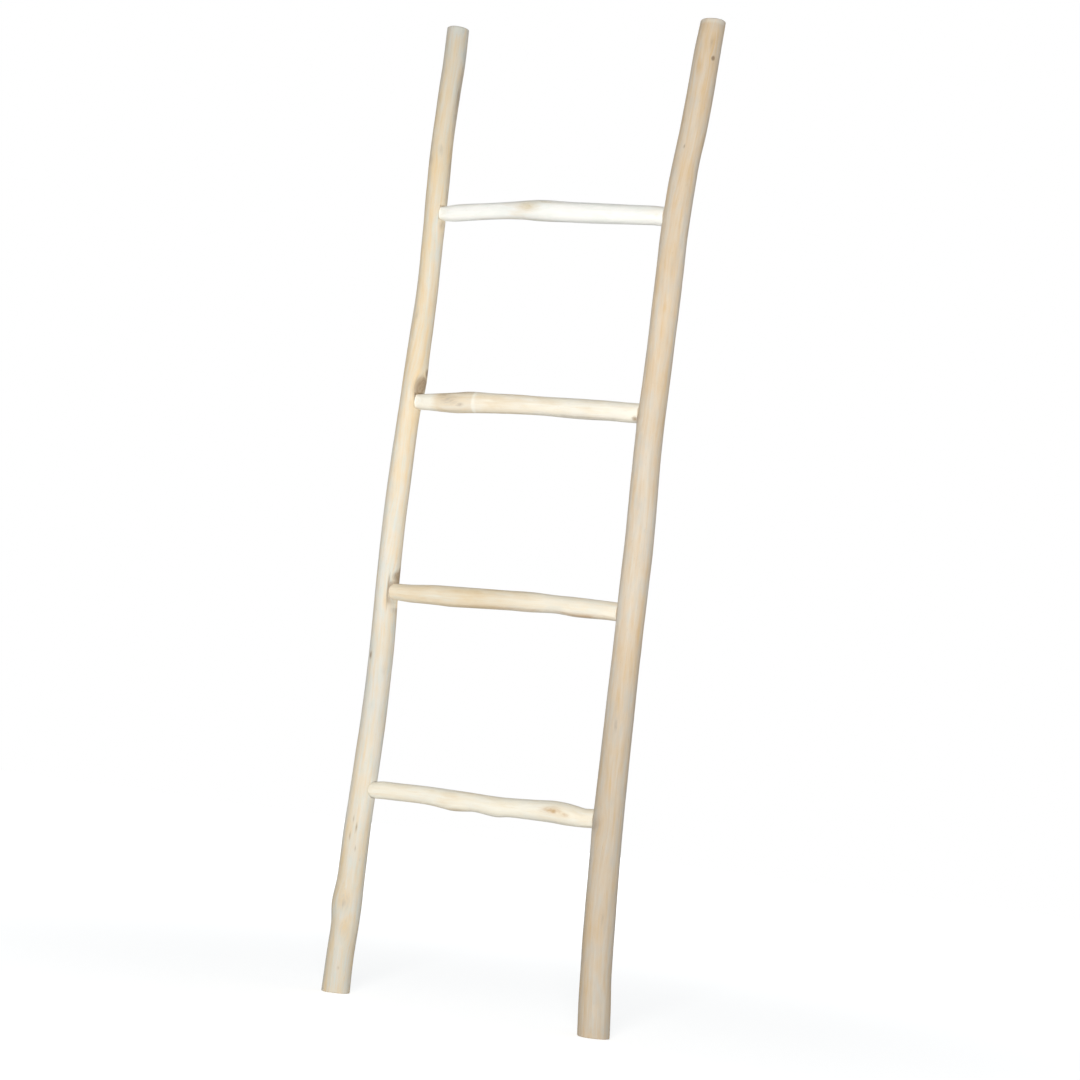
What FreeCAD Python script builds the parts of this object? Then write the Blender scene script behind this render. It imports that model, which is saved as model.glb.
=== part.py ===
"""Blanket ladder made of peeled and whitewashed teak branches.

Two branch rails stand side by side on their square-cut feet. Four branch rungs join
them: each rung end is whittled down to a round tenon that is glued into a blind mortise
drilled in the rail, and a headless nail driven in from behind locks the tenon.

Millimetres. +Z runs up the rails, +X from the left rail to the right one, and the front
faces -Y. The origin is the middle of the bounding box, level with the feet.
"""
import FreeCAD, Part
import math
import os

Vector = FreeCAD.Vector

# ---- overall ------------------------------------------------------------------------
RAIL_LENGTH = 1500.0
RAIL_SPACING = 406.0
RUNG_HEIGHTS = {"rung_1": 1203.5, "rung_2": 906.7, "rung_3": 611.3, "rung_4": 308.5}

# ---- peeled branch surface ----------------------------------------------------------
SHAVED_FLATS = 24
RAIL_RING_GAP = 36.0
RUNG_RING_GAP = 28.0
RAIL_FLUTE_DEPTH = 0.5
RUNG_FLUTE_DEPTH = 0.35
FLUTES = 3
FLUTE_TWIST = 70.0
END_BEVEL = 1.2

# ---- whittled tenons in drilled mortises --------------------------------------------
TENON_DIAMETER = 20.0
GLUE_LINE = 0.08
MORTISE_PAST_AXIS = 5.0
TENON_END_GAP = 0.6
SHOULDER_GAP = 1.0
TAPER_LENGTH = 15.0
LONG_TAPER_LENGTH = 24.0
TAPER_NOSE = 3.0
NOSE_STEP = 1.6
# Shares of a taper's length, each with how much of the swell from tenon to body it has there.
TAPER_PROFILE = [(0.00, 0.03), (0.30, 0.50), (0.65, 0.87), (1.00, 1.00)]

# ---- hollow of an old branch scar, where one rung enters the left rail ---------------
SCAR_RUNG = "rung_3"
SCAR_DEPTH = 3.2
SCAR_SWEEP_RADIUS = 95.0

# ---- nails --------------------------------------------------------------------------
NAIL_WIDTH = 1.6
NAIL_THICKNESS = 1.4
NAIL_LENGTH = 28.0
NAIL_SET = 1.0
NAIL_FROM_AXIS = 4.0
NAIL_FIT = 0.03
NAIL_HOLE_PAST_BACK = 4.0

# Each branch is a list of sections from one end to the other. A rail section holds its
# share of the rail's length, how far the branch wanders sideways (+X) and backwards (+Y)
# from the rail's straight line, and its radius.
LEFT_RAIL = [
    (0.000, -7.3, 2.0, 21.5),
    (0.040, -6.7, 1.6, 20.7),
    (0.068, -5.1, 1.3, 21.1),
    (0.090, -6.3, 1.1, 22.8),
    (0.115, -4.5, 0.8, 20.7),
    (0.160, -4.1, 0.4, 20.4),
    (0.205, -2.2, 0.0, 19.7),
    (0.290, 0.9, -1.2, 19.1),
    (0.355, 0.0, -2.0, 18.7),
    (0.407, -2.8, -2.5, 17.9),
    (0.460, -5.1, -2.2, 17.6),
    (0.520, -5.7, -1.6, 17.6),
    (0.590, -4.2, -1.0, 16.9),
    (0.622, -1.8, -0.8, 18.3),
    (0.660, -1.1, -0.4, 17.8),
    (0.723, 0.1, 0.8, 16.6),
    (0.785, -2.7, 1.8, 16.8),
    (0.840, -5.9, 2.6, 17.6),
    (0.880, -7.5, 3.2, 17.1),
    (0.930, -6.6, 3.9, 17.0),
    (0.960, -5.1, 4.3, 17.3),
    (1.000, -5.4, 4.6, 16.9),
]
RIGHT_RAIL = [
    (0.000, 15.9, -2.5, 23.4),
    (0.030, 11.9, -2.1, 23.5),
    (0.057, 8.5, -1.6, 22.8),
    (0.100, 4.9, -1.0, 22.9),
    (0.145, 2.0, -0.4, 22.3),
    (0.200, -0.8, 0.4, 22.1),
    (0.260, -2.0, 1.0, 21.6),
    (0.325, -3.1, 1.5, 21.0),
    (0.390, -3.5, 2.0, 20.8),
    (0.425, -3.8, 2.1, 21.4),
    (0.490, -4.4, 2.4, 21.2),
    (0.555, -7.1, 2.6, 20.3),
    (0.590, -7.6, 2.5, 20.4),
    (0.660, -5.9, 2.0, 20.1),
    (0.723, -4.8, 1.2, 20.5),
    (0.785, -4.2, 0.2, 20.2),
    (0.825, -1.3, -0.6, 20.3),
    (0.857, 2.4, -1.4, 19.6),
    (0.890, 8.0, -2.2, 19.9),
    (0.930, 12.8, -3.0, 19.9),
    (0.970, 16.7, -3.7, 19.5),
    (1.000, 20.8, -4.2, 18.6),
]

# A rung section holds its share of the body between the two tapers, how far the body
# wanders backwards (+Y) and upwards (+Z) from the line between its tenons, and its radius.
RUNG_BODIES = {
    "rung_1": [
        (0.000, 0.0, 0.8, 13.3),
        (0.200, -1.0, 4.5, 12.8),
        (0.345, -1.8, 6.2, 14.0),
        (0.447, -2.2, 6.0, 16.1),
        (0.595, -1.8, 4.2, 15.5),
        (0.740, -1.0, 3.1, 15.4),
        (0.880, -0.4, 2.0, 14.7),
        (1.000, 0.0, 1.4, 14.4),
    ],
    "rung_2": [
        (0.000, 0.0, 0.3, 13.1),
        (0.130, 0.5, 1.4, 15.9),
        (0.205, 0.8, 3.1, 16.4),
        (0.330, 1.4, 3.6, 15.2),
        (0.455, 1.8, 3.8, 14.8),
        (0.575, 1.6, 3.4, 14.3),
        (0.700, 1.2, 2.4, 15.1),
        (0.800, 0.8, 1.8, 15.3),
        (0.890, 0.4, 1.5, 14.9),
        (1.000, 0.0, 0.2, 14.7),
    ],
    "rung_3": [
        (0.000, 0.0, -0.8, 13.8),
        (0.140, -0.6, 0.4, 14.9),
        (0.220, -1.0, 0.3, 15.5),
        (0.355, -1.6, 1.2, 15.2),
        (0.515, -2.0, 2.2, 14.7),
        (0.620, -1.8, 2.6, 15.1),
        (0.750, -1.2, 2.8, 13.6),
        (0.850, -0.6, 1.5, 14.7),
        (1.000, 0.0, 0.7, 13.8),
    ],
    "rung_4": [
        (0.000, 0.0, 1.3, 13.3),
        (0.215, 0.9, 1.9, 13.4),
        (0.360, 1.5, -0.2, 15.1),
        (0.465, 1.8, 0.6, 13.7),
        (0.573, 1.8, -1.5, 15.0),
        (0.640, 1.5, -0.1, 14.2),
        (0.746, 1.0, 0.9, 15.0),
        (0.850, 0.5, 2.0, 16.2),
        (0.920, 0.2, 0.9, 16.1),
        (1.000, 0.0, -1.0, 13.8),
    ],
}


def slope_at(sections, index, column):
    """Slope of one column of a branch's sections at one of them, across its neighbours."""
    before = sections[max(index - 1, 0)]
    after = sections[min(index + 1, len(sections) - 1)]
    return (after[column] - before[column]) / (after[0] - before[0])


def section_at(sections, share):
    """Wander and radius of a branch at a share of its length, smoothly through its sections."""
    index = 0
    while share > sections[index + 1][0] and index < len(sections) - 2:
        index += 1
    low, high = sections[index], sections[index + 1]
    span = high[0] - low[0]
    t = (share - low[0]) / span
    values = []
    for column in (1, 2, 3):
        start_slope = slope_at(sections, index, column) * span
        end_slope = slope_at(sections, index + 1, column) * span
        rise = high[column] - low[column]
        bend = start_slope * (1 - t) ** 2 * t - end_slope * (1 - t) * t ** 2
        values.append(low[column] + rise * t ** 2 * (3 - 2 * t) + bend)
    return values


def even_shares(length, gap):
    """Shares of a length that divide it into equal steps of about the given gap."""
    steps = math.ceil(length / gap)
    return [i / steps for i in range(steps + 1)]


def branch_ring(centre, radius, across, upward, flute_depth, turn):
    """Corners of one section of a peeled branch: shaved flats on a faintly fluted round."""
    corners = []
    for i in range(SHAVED_FLATS):
        angle = 2 * math.pi * i / SHAVED_FLATS
        reach = radius + flute_depth * math.cos(FLUTES * angle + turn)
        sideways = across * (reach * math.cos(angle))
        corners.append(centre + sideways + upward * (reach * math.sin(angle)))
    return corners


def ring_wire(corners):
    """The closed outline of one section."""
    return Part.makePolygon(corners + corners[:1])


def smooth_branch(rings):
    """Solid that follows its rings in smooth curves: a strip per shaved flat, and two flat ends."""
    knots = [float(i) for i in range(len(rings) - 2)]
    repeats = [4] + [1] * (len(knots) - 2) + [4]
    faces = [Part.Face(ring_wire(rings[0])), Part.Face(ring_wire(rings[-1]))]
    for i in range(SHAVED_FLATS):
        edges = [[ring[i - 1] for ring in rings], [ring[i] for ring in rings]]
        strip = Part.BSplineSurface()
        across_knots = [0.0, 1.0]
        strip.buildFromPolesMultsKnots(edges, [2, 2], repeats, across_knots, knots, False, False, 1, 3)
        faces.append(strip.toShape())
    shell = Part.makeShell(faces)
    shell.sewShape()
    solid = Part.makeSolid(shell)
    if solid.Volume < 0:
        solid.reverse()
    return solid


def bevel_cutter(centre, radius, outward):
    """Ring that takes the sharp edge off a square-cut end, whose face points outward."""
    margin = 2 * END_BEVEL
    depth = END_BEVEL + margin
    start = centre - outward * depth
    block = Part.makeCylinder(radius + 2 * margin, depth, start, outward)
    return block.cut(Part.makeCone(radius + margin, radius - END_BEVEL, depth, start, outward))


# ---- rails --------------------------------------------------------------------------
def rail_line(side):
    """X of a rail's straight line: side is -1 for the left rail and +1 for the right one."""
    return side * RAIL_SPACING / 2


def rail_at(rail, height):
    """Centre and radius of a rail at a height."""
    side, sections = rail
    wander_x, wander_y, radius = section_at(sections, height / RAIL_LENGTH)
    return Vector(rail_line(side) + wander_x, wander_y, height), radius


def make_rail_blank(rail):
    """The peeled branch before any mortise is drilled, with both ends cut square."""
    side, _ = rail
    rings = []
    for share in even_shares(RAIL_LENGTH, RAIL_RING_GAP):
        centre, radius = rail_at(rail, share * RAIL_LENGTH)
        turn = math.radians(side * FLUTE_TWIST * share)
        ring = branch_ring(centre, radius, Vector(1, 0, 0), Vector(0, 1, 0), RAIL_FLUTE_DEPTH, turn)
        rings.append(ring)
    blank = smooth_branch(rings)
    for end_height, outward in ((0.0, Vector(0, 0, -1)), (RAIL_LENGTH, Vector(0, 0, 1))):
        centre, radius = rail_at(rail, end_height)
        blank = blank.cut(bevel_cutter(centre, radius, outward))
    return blank


# ---- joints between rungs and rails --------------------------------------------------
def rung_joint(name, rail, other_rail):
    """Rail centre, direction out of the mortise towards the other rail, and rail radius."""
    height = RUNG_HEIGHTS[name]
    here, radius = rail_at(rail, height)
    there, _ = rail_at(other_rail, height)
    return here, (there - here).normalize(), radius


def scar_depth(name, rail):
    """Depth of the scar hollow at this rung's joint, which only one joint has."""
    return SCAR_DEPTH if name == SCAR_RUNG and rail is left else 0.0


def taper_length(name, rail):
    """The rung that enters the scar hollow is whittled to a longer point there."""
    return LONG_TAPER_LENGTH if scar_depth(name, rail) else TAPER_LENGTH


def shoulder_reach(name, rail, radius):
    """Distance from the rail's centre to where the rung's taper leaves the tenon."""
    return radius + RAIL_FLUTE_DEPTH + SHOULDER_GAP - scar_depth(name, rail)


def make_mortise(name, rail, other_rail):
    """The drilled blind hole, from past the rail's centre to well outside its inner side."""
    centre, outward, radius = rung_joint(name, rail, other_rail)
    floor = centre - outward * MORTISE_PAST_AXIS
    depth = MORTISE_PAST_AXIS + 2 * radius
    return Part.makeCylinder(TENON_DIAMETER / 2 + GLUE_LINE, depth, floor, outward)


def make_scar(name, rail, other_rail):
    """A long shallow scoop across the inner side of the rail, centred on the mortise."""
    centre, outward, radius = rung_joint(name, rail, other_rail)
    sweep_centre = centre + outward * (radius - scar_depth(name, rail) + SCAR_SWEEP_RADIUS)
    start = sweep_centre - Vector(0, 2 * radius, 0)
    return Part.makeCylinder(SCAR_SWEEP_RADIUS, 4 * radius, start, Vector(0, 1, 0))


def nail_place(name, rail, other_rail):
    """Centre of the nail's outer end, set just under the back of the rail."""
    centre, outward, radius = rung_joint(name, rail, other_rail)
    back = math.sqrt(radius ** 2 - NAIL_FROM_AXIS ** 2)
    return centre + outward * NAIL_FROM_AXIS + Vector(0, back - NAIL_SET, 0)


def brad(width, thickness, length, back_end):
    """A square-shanked bar that runs forwards (-Y) from its back end."""
    corner = back_end - Vector(width / 2, length, thickness / 2)
    return Part.makeBox(width, length, thickness, corner)


def make_nail(name, rail, other_rail):
    """A headless brad that crosses the tenon and ends in the front half of the rail."""
    return brad(NAIL_WIDTH, NAIL_THICKNESS, NAIL_LENGTH, nail_place(name, rail, other_rail))


def make_nail_hole(name, rail, other_rail):
    """The slot that the brad leaves, open behind it at the back of the rail."""
    back_end = nail_place(name, rail, other_rail) + Vector(0, NAIL_HOLE_PAST_BACK, 0)
    length = NAIL_HOLE_PAST_BACK + NAIL_LENGTH + NAIL_FIT
    return brad(NAIL_WIDTH + 2 * NAIL_FIT, NAIL_THICKNESS + 2 * NAIL_FIT, length, back_end)


# ---- finished pieces ----------------------------------------------------------------
def make_rail(rail, other_rail):
    """A rail with its mortises, nail holes and, on the left rail, the scar hollow."""
    cuts = []
    for name in RUNG_HEIGHTS:
        cuts.append(make_mortise(name, rail, other_rail))
        cuts.append(make_nail_hole(name, rail, other_rail))
        if scar_depth(name, rail):
            cuts.append(make_scar(name, rail, other_rail))
    solid = make_rail_blank(rail)
    for tool in cuts:
        solid = solid.cut(tool)
    return solid


def taper_rings(shoulder, reach, end_radius, end_wander, frame):
    """Rings of one whittled taper, from its nose inside the mortise out to the body."""
    centre, along, behind, above, turn = frame
    tenon = TENON_DIAMETER / 2
    swell = end_radius - tenon
    steps = [(-TAPER_NOSE / abs(reach), tenon - NOSE_STEP)]
    steps += [(share, tenon + part * swell) for share, part in TAPER_PROFILE]
    rings = []
    for share, radius in steps:
        drift = max(share, 0.0) * end_wander
        place = centre + along * (shoulder + share * reach) + above * drift
        flute_depth = RUNG_FLUTE_DEPTH * max(share, 0.0)
        rings.append(branch_ring(place, radius, behind, above, flute_depth, turn))
    return rings


def make_rung(name):
    """A branch rung: natural body, whittled tapers, and a round tenon at each end."""
    body = RUNG_BODIES[name]
    left_centre, along, left_radius = rung_joint(name, left, right)
    right_centre, _, right_radius = rung_joint(name, right, left)
    behind = Vector(0, 0, 1).cross(along)
    above = along.cross(behind)
    turn_end = math.radians(FLUTE_TWIST)

    left_shoulder = shoulder_reach(name, left, left_radius)
    right_shoulder = (right_centre - left_centre).Length - shoulder_reach(name, right, right_radius)
    body_start = left_shoulder + taper_length(name, left)
    body_length = right_shoulder - taper_length(name, right) - body_start

    rings = []
    for share in even_shares(body_length, RUNG_RING_GAP):
        wander_y, wander_z, radius = section_at(body, share)
        place = left_centre + along * (body_start + share * body_length)
        centre = place + behind * wander_y + above * wander_z
        rings.append(branch_ring(centre, radius, behind, above, RUNG_FLUTE_DEPTH, turn_end * share))
    solid = smooth_branch(rings)

    tenon_reach = MORTISE_PAST_AXIS - TENON_END_GAP
    ends = (
        (left_shoulder, taper_length(name, left), body[0], 0.0, left_centre, along),
        (right_shoulder, -taper_length(name, right), body[-1], turn_end, right_centre, along * -1),
    )
    for shoulder, reach, section, turn, rail_centre, outward in ends:
        frame = (left_centre, along, behind, above, turn)
        steps = taper_rings(shoulder, reach, section[3], section[2], frame)
        taper = Part.makeLoft([ring_wire(step) for step in steps], True, True)
        tenon_end = rail_centre - outward * tenon_reach
        shoulder_place = left_centre + along * shoulder
        length = (shoulder_place - tenon_end).Length
        tenon = Part.makeCylinder(TENON_DIAMETER / 2, length, tenon_end, outward)
        solid = solid.fuse([taper, tenon])
    for rail, other_rail in ((left, right), (right, left)):
        solid = solid.cut(make_nail_hole(name, rail, other_rail))
    return solid


def make_nails():
    """All the nails, as separate solids of one group."""
    nails = []
    for name in RUNG_HEIGHTS:
        nails.append(make_nail(name, left, right))
        nails.append(make_nail(name, right, left))
    return Part.makeCompound(nails)


left = (-1, LEFT_RAIL)
right = (1, RIGHT_RAIL)

pieces = {"left_rail": make_rail(left, right), "right_rail": make_rail(right, left)}
for rung_name in RUNG_HEIGHTS:
    pieces[rung_name] = make_rung(rung_name)
pieces["joint_nails"] = make_nails()

# The origin goes to the middle of the finished ladder, level with its feet.
box = Part.makeCompound(list(pieces.values())).optimalBoundingBox(False, False)
to_origin = Vector(-(box.XMin + box.XMax) / 2, -(box.YMin + box.YMax) / 2, -box.ZMin)

os.makedirs("parts", exist_ok=True)
for node, shape in pieces.items():
    shape.translate(to_origin)
    shape.exportStep("parts/" + node + ".step")
    print(node, len(shape.Solids), "solid(s)", round(shape.Volume / 1000, 1), "cm3", shape.isValid())
print("overall", round(box.XLength, 1), round(box.YLength, 1), round(box.ZLength, 1))
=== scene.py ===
"""Blanket ladder of peeled, whitewashed teak branches, photographed on white."""
import math

import bpy
import numpy as np
from mathutils import Matrix, Vector


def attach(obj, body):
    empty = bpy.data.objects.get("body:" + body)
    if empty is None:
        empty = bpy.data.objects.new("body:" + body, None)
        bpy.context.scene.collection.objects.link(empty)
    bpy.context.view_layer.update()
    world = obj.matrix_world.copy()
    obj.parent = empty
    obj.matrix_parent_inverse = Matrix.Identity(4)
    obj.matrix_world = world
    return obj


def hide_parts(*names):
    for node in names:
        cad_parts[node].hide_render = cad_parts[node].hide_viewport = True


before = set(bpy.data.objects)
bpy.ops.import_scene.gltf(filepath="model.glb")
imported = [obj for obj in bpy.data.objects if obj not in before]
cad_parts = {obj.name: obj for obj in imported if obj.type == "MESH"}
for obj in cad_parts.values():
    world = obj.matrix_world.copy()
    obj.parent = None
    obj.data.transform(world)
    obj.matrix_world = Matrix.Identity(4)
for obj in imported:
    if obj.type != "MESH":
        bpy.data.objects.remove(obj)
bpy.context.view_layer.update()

# ======================================================================================
# LEFT RAIL
# A peeled teak branch, 33 to 46 mm thick, sawn square at both ends, sanded by hand and
# rubbed with a thin whitewash. Four blind mortises are drilled in it, and round the mouth
# of each a seat is cut for the end of its rung.
# ======================================================================================
MM = 0.001
RAIL_LENGTH = 1500.0
RUNG_HEIGHTS = {"rung_1": 1203.5, "rung_2": 906.7, "rung_3": 611.3, "rung_4": 308.5}
TENON_RADIUS = 10.0
MORTISE_RADIUS = 10.08
MORTISE_PAST_AXIS = 5.0

# Share of the length, wander to the right, wander backwards, radius (mm).
LEFT_RAIL_LINE = (-208.691, 0.987)
LEFT_RAIL_SECTIONS = [
    (0.000, -7.3, 2.0, 21.5), (0.040, -6.7, 1.6, 20.7), (0.068, -5.1, 1.3, 21.1),
    (0.090, -6.3, 1.1, 22.8), (0.115, -4.5, 0.8, 20.7), (0.160, -4.1, 0.4, 20.4),
    (0.205, -2.2, 0.0, 19.7), (0.290, 0.9, -1.2, 19.1), (0.355, 0.0, -2.0, 18.7),
    (0.407, -2.8, -2.5, 17.9), (0.460, -5.1, -2.2, 17.6), (0.520, -5.7, -1.6, 17.6),
    (0.590, -4.2, -1.0, 16.9), (0.622, -1.8, -0.8, 18.3), (0.660, -1.1, -0.4, 17.8),
    (0.723, 0.1, 0.8, 16.6), (0.785, -2.7, 1.8, 16.8), (0.840, -5.9, 2.6, 17.6),
    (0.880, -7.5, 3.2, 17.1), (0.930, -6.6, 3.9, 17.0), (0.960, -5.1, 4.3, 17.3),
    (1.000, -5.4, 4.6, 16.9),
]
# Knots, old branch scars and a few marks of painted shade: height, angle round the rail
# (degrees, 0 to the right and -90 to the front), half length, half width, height above the
# surface, how dark.
LEFT_RAIL_KNOTS_AND_SHADE = [
    (1424, -120, 16, 7, 0.1, 0.20),
    # This long mark and the one at 1262 are painted shade along the right edge, not knots.
    (1392, -2, 88, 8, 0.0, 0.42),
    (1301, -62, 14, 6, 0.2, 0.24),
    (1284, -116, 12, 7, 0.1, 0.24),
    # Painted shade along the right edge.
    (1262, 2, 64, 8, 0.0, 0.32),
    (1184, -16, 10, 6, 0.5, 0.34),
    (1040, -100, 20, 6, 0.1, 0.18),
    (926, -26, 20, 11, 0.7, 1.0),
    (932, -12, 13, 8, 0.2, 1.2),
    (950, 8, 9, 6, 0.3, 0.7),
    (760, -92, 26, 7, 0.2, 0.18),
    # These two are the scar's darker wood with painted shade in its hollow above rung 3.
    (631, 0, 13, 12, 0.0, 1.0),
    (641, 14, 11, 6, 0.0, 0.8),
    (612, -56, 30, 2.4, 0.0, 0.66),
    (584, 6, 10, 6, 0.0, 0.45),
    (511, -114, 7, 3, -0.3, 0.70),
    (493, -34, 16, 6, 0.1, 0.24),
    (250, -66, 9, 1.6, -0.2, 0.62),
    (236, -90, 10, 1.6, -0.2, 0.50),
    (262, -84, 7, 1.3, -0.2, 0.46),
    (218, -58, 6, 1.3, -0.2, 0.44),
    (136, -72, 18, 10, 0.5, 0.26),
    (92, -60, 16, 9, 0.2, 0.22),
    (38, -62, 4, 2.5, 0.2, 0.3),
    (700, 96, 16, 9, 0.8, 0.7),
    (1350, 150, 12, 7, 0.6, 0.6),
]
# How the finish lies: share of the length, thickness of the whitewash from 0 to 1, and the
# factor that darkens the colour there.
LEFT_RAIL_WASH = [
    (0.000, 0.56, 0.926), (0.042, 0.56, 0.936), (0.090, 0.66, 0.946), (0.140, 0.64, 0.946),
    (0.187, 0.72, 0.965), (0.230, 0.76, 0.965), (0.286, 0.83, 0.936), (0.340, 0.84, 0.946),
    (0.386, 0.75, 0.965), (0.435, 0.68, 0.975), (0.485, 0.60, 0.985), (0.585, 0.48, 0.985),
    (0.684, 0.43, 0.965), (0.785, 0.42, 0.955), (0.840, 0.41, 0.946), (0.886, 0.40, 0.916),
    (0.950, 0.58, 0.886), (0.990, 0.76, 0.867), (0.996, 0.90, 0.867), (1.000, 0.90, 0.847),
]


def smooth_along(sections, share):
    """Each column of listed sections at shares of a branch, on a smooth curve through them."""
    table = np.array(sections)
    place, values = table[:, 0], table[:, 1:]
    last = len(place) - 1
    before = np.maximum(np.arange(last + 1) - 1, 0)
    after = np.minimum(np.arange(last + 1) + 1, last)
    slope = (values[after] - values[before]) / (place[after] - place[before])[:, None]
    share = np.asarray(share, float)
    i = np.clip(np.searchsorted(place, share, side="left") - 1, 0, last - 1)
    span = (place[i + 1] - place[i])[..., None]
    t = (share - place[i])[..., None] / span
    rise = (values[i + 1] - values[i]) * t ** 2 * (3 - 2 * t)
    leaving, arriving = slope[i] * (1 - t) ** 2 * t, slope[i + 1] * (1 - t) * t ** 2
    return values[i] + rise + span * (leaving - arriving)


def wood_noise(points, seed):
    """Smooth random values, about -1 to 1, at 3-D points whose unevenness is one unit wide."""
    rng = np.random.default_rng(seed)
    order = rng.permutation(256)
    lean = rng.normal(size=(256, 3))
    lean /= np.linalg.norm(lean, axis=1)[:, None]
    cell = np.floor(points).astype(int)
    local = points - cell
    fade = local ** 3 * (local * (local * 6 - 15) + 10)
    total = np.zeros(points.shape[:-1])
    for corner in np.ndindex(2, 2, 2):
        x, y, z = np.moveaxis(cell + corner, -1, 0) & 255
        pick = order[(order[(order[x] + y) & 255] + z) & 255]
        weight = np.prod(np.where(np.array(corner), fade, 1 - fade), axis=-1)
        total += weight * ((local - corner) * lean[pick]).sum(-1)
    return total * 1.7


def smooth_step(value, low, high):
    """0 below low, 1 above high, and a soft rise between."""
    t = np.clip((value - low) / (high - low), 0, 1)
    return t * t * (3 - 2 * t)


def turn_between(angle, other):
    """Smallest turn from one angle to another, in radians."""
    return (angle - other + math.pi) % (2 * math.pi) - math.pi


def knot_field(station, angle, radius, knots):
    """Distance from each knot's middle, 1 at its rim, with its sideways part."""
    for along, degrees, half_length, half_width, height, dark in knots:
        sideways = turn_between(angle, math.radians(degrees)) * radius / half_width
        distance = np.hypot(sideways, (station - along) / half_length)
        yield distance, sideways, half_width, height, dark


def peeled_relief(station, angle, radius, knots, seed):
    """Height of the peeled and sanded surface over the plain branch, in mm."""
    rounds = np.stack([radius * np.cos(angle), radius * np.sin(angle), station], axis=-1)
    relief = 0.40 * wood_noise(rounds / (15, 15, 120), seed)
    relief += 0.22 * wood_noise(rounds / (6, 6, 45), seed + 1)
    furrow = np.abs(wood_noise(rounds / (3.4, 3.4, 55), seed + 2))
    relief -= 0.16 * np.exp(-(furrow / 0.10) ** 2)
    for distance, _, _, height, _ in knot_field(station, angle, radius, knots):
        collar = np.exp(-((distance - 1.25) / 0.45) ** 2)
        swell = 0.75 * np.exp(-(distance * 0.8) ** 2) + 0.45 * collar
        relief += height * (swell - 0.25 * np.exp(-(distance * 3) ** 2))
    return relief


# A distance (mm) that stands for nowhere near.
FAR = 99.0


class Branch:
    """One branch as rings along its length. station and angle say where a point is on it."""

    def __init__(self, name, across, upward, centre_at, knots, wash, length, seed):
        self.name, self.knots, self.wash, self.length, self.seed = name, knots, wash, length, seed
        self.across, self.upward = np.array(across, float), np.array(upward, float)
        self.along = np.cross(self.across, self.upward)
        self.centre_at = centre_at

    def mesh(self, stations, radii, angles, end_rings, end_depth=None):
        """A closed mesh of rings: radii holds one row for each station. end_depth says how far
        the points of the two ends lie below flat, in mm."""
        shares = np.linspace(1, 0, end_rings + 1)[1:-1] ** 0.8
        foot_rings, top_rings = radii[:1] * shares[::-1, None], radii[-1:] * shares[:, None]
        rows_r = np.concatenate([foot_rings, radii, top_rings])
        centre = self.centre_at(np.pad(stations, len(shares), mode="edge"))
        ends = self.centre_at(np.array([stations[0], stations[-1]]))
        points = centre[:, None] + (rows_r * np.cos(angles))[..., None] * self.across
        points += (rows_r * np.sin(angles))[..., None] * self.upward
        if end_depth is not None:
            foot = end_depth(shares[::-1], angles, self.seed)
            top = end_depth(shares, angles, self.seed + 5)
            points[:len(shares)] += foot[..., None] * self.along
            points[-len(shares):] -= top[..., None] * self.along
        rows, columns = rows_r.shape
        grid = np.arange(rows * columns).reshape(rows, columns)
        beside = np.roll(grid, -1, axis=1)
        quads = np.stack([grid[:-1], beside[:-1], beside[1:], grid[1:]], axis=-1).reshape(-1, 4)
        first, last = rows * columns, rows * columns + 1
        faces = quads.tolist()
        faces += [(first, b, a) for a, b in zip(grid[0], beside[0])]
        faces += [(last, a, b) for a, b in zip(grid[-1], beside[-1])]
        mesh = bpy.data.meshes.new(self.name)
        mesh.from_pydata((np.concatenate([points.reshape(-1, 3), ends]) * MM).tolist(), [], faces)
        mesh.update()
        return mesh

    def describe(self, points):
        """Station, angle and distance from the branch's middle line, of points in mm."""
        station = (points - self.centre_at(np.zeros(1))[0]) @ self.along
        for _ in range(2):
            middle = self.centre_at(station)
            station = station + ((points - middle) @ self.along)
        away = points - middle
        up, side = away @ self.upward, away @ self.across
        return station, np.arctan2(up, side), np.hypot(side, up)

    def mark(self, mesh, plain_radius_at, from_joint=None):
        """Stores what the finish needs at each point: the fibres' own directions, the whitewash,
        knots and marks of painted shade, cut and sawn wood, and the way to the nearest mortise, for
        the painted shade round its mouth."""
        points = np.zeros(len(mesh.vertices) * 3, np.float32)
        mesh.vertices.foreach_get("co", points)
        points = points.reshape(-1, 3).astype(float) / MM
        station, angle, reach = self.describe(points)
        plain = plain_radius_at(station)
        # The fibres part round a knot as water does round a stone.
        bent = angle.copy()
        knot = np.zeros(len(angle))
        field = knot_field(station, angle, plain, self.knots)
        for distance, sideways, half_width, _, dark in field:
            pull = sideways * half_width / (1 + distance ** 2 * 1.4)
            bent -= pull / np.maximum(plain, 1)
            knot = np.maximum(knot, dark * np.clip(1.35 - distance, 0, 1.35) / 1.35)
        grain = np.stack([reach * np.cos(bent), reach * np.sin(bent), station], axis=-1)
        share = station / self.length
        places, thickness, shade = np.array(self.wash).T
        cut = smooth_step(plain - reach, 1.0, 2.2)
        near_end = 1 - smooth_step(np.minimum(station, self.length - station), 1.0, 2.0)
        joint = np.full(points.shape, FAR) if from_joint is None else from_joint(points)
        for label, values in (
            ("whitewash", np.interp(share, places, thickness)),
            ("shade", np.interp(share, places, shade)),
            ("knot", knot), ("cut", cut), ("sawn", cut * near_end),
        ):
            layer = mesh.attributes.new(label, "FLOAT", "POINT")
            layer.data.foreach_set("value", values.astype(np.float32))
        for label, values in (("grain", grain), ("joint", joint)):
            layer = mesh.attributes.new(label, "FLOAT_VECTOR", "POINT")
            layer.data.foreach_set("vector", values.astype(np.float32).ravel())


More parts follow.
